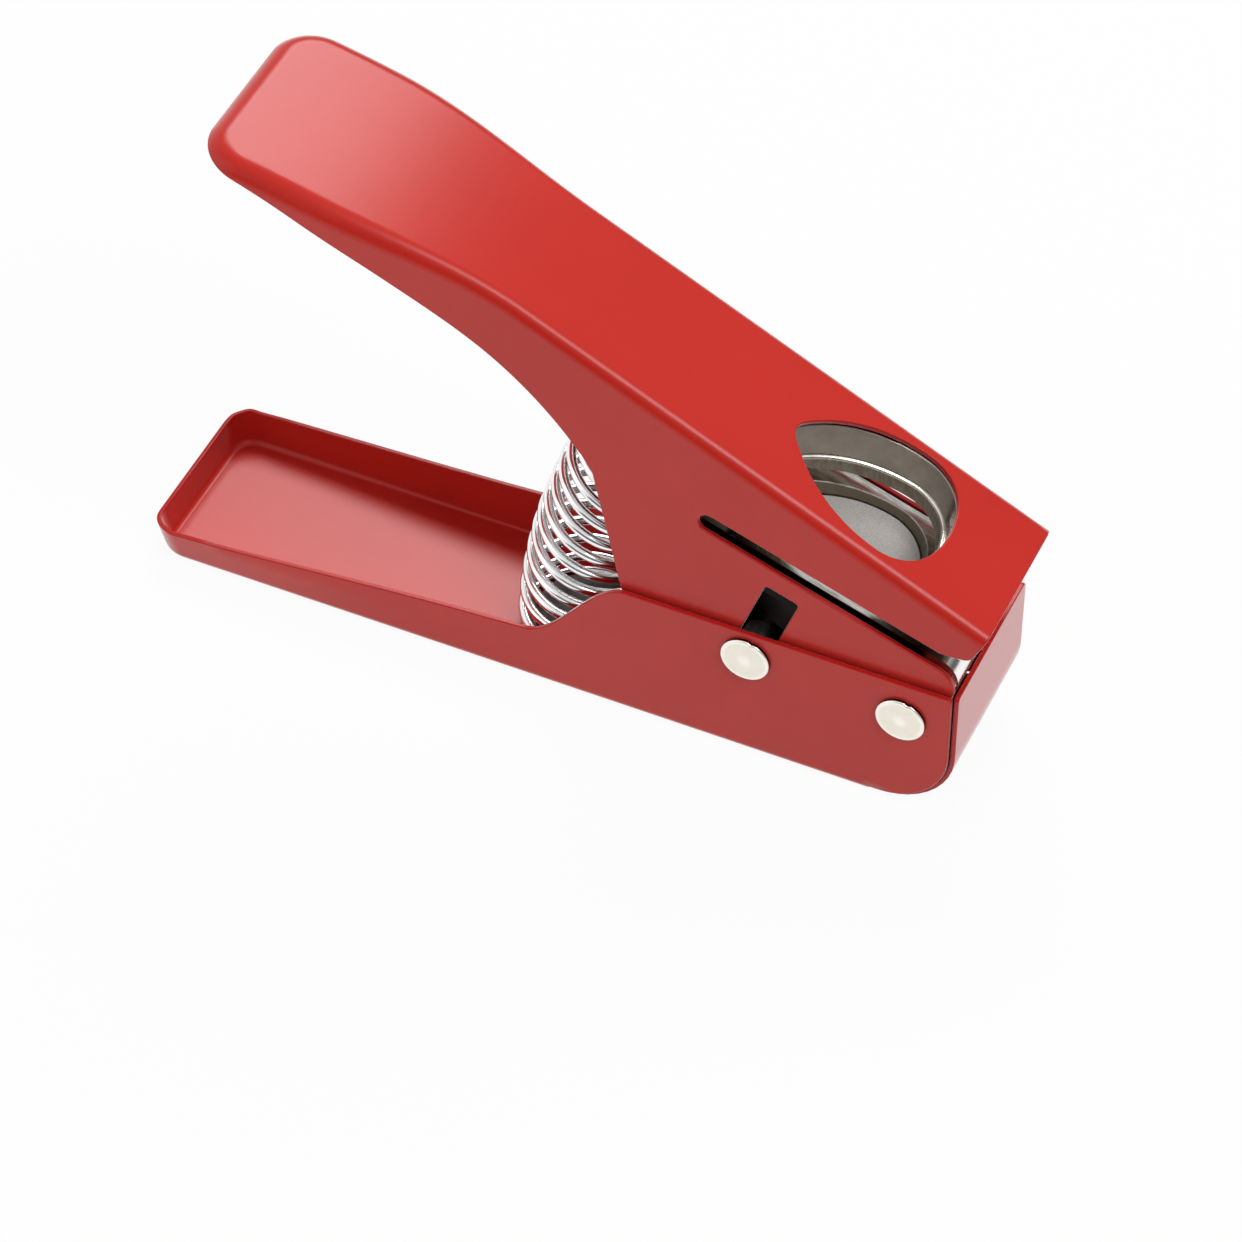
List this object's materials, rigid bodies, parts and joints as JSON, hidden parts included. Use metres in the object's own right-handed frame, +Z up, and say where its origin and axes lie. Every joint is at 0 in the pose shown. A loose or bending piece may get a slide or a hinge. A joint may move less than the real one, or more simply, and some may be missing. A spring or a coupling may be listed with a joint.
{
  "type": "guitar pick punch",
  "caption": "Hand lever punch of folded red sheet steel that cuts guitar picks from a plastic strip, with a coil return spring, a pick-shaped die and an open tray.",
  "frame": {"origin": "middle of the base's underside, half way along the base and on its plane of symmetry", "axes": "+X along the base towards the jaw and the front flap, +Y to the left, +Z up"},
  "size_m": [0.1591, 0.038, 0.1031],
  "materials": {
    "red_coat": "satin powder coat",
    "nickel": "satin nickel plate",
    "spring_chrome": "bright chrome plate",
    "die_chrome": "chrome plate",
    "steel": "plain steel",
    "sintered": "matt sintered steel",
    "black_oxide": "black oxide",
    "nylon": "natural nylon"
  },
  "bodies": {
    "base": {"base_shell": "red_coat", "pivot_rivet": "nickel", "punch_rivet": "nickel", "pivot_sleeve": "steel", "pivot_washers": "nylon", "carrier_spacers": "steel", "lower_spring_seat": "steel", "return_spring": "spring_chrome"},
    "lever": {"lever_shell": "red_coat", "upper_spring_seat": "steel", "die_holder": "die_chrome", "die_plate": "die_chrome", "strip_stop": "steel", "guide_block": "die_chrome", "die_anchor": "steel", "die_screws": "black_oxide", "die_dowels": "steel"},
    "punch": {"punch": "sintered", "punch_carrier": "black_oxide", "punch_screws": "black_oxide"}
  },
  "joints": [
    {"name": "lever_press", "type": "hinge", "parent": "base", "child": "lever", "pos_m": [0.0677, 0, 0.021], "axis": [0, -1, 0], "range_deg": [0, 19.25], "stiffness_Nm_per_rad": 6, "springref_deg": -11.46, "deforming": ["return_spring"]},
    {"name": "punch_slide", "type": "slide", "parent": "lever", "child": "punch", "axis": [0.3297, 0, 0.9441], "range_m": [0, 0.00962]}
  ],
  "couplings": [
    {"joint": "punch_slide", "follows": "lever_press", "m_per_rad": 0.028627}
  ]
}
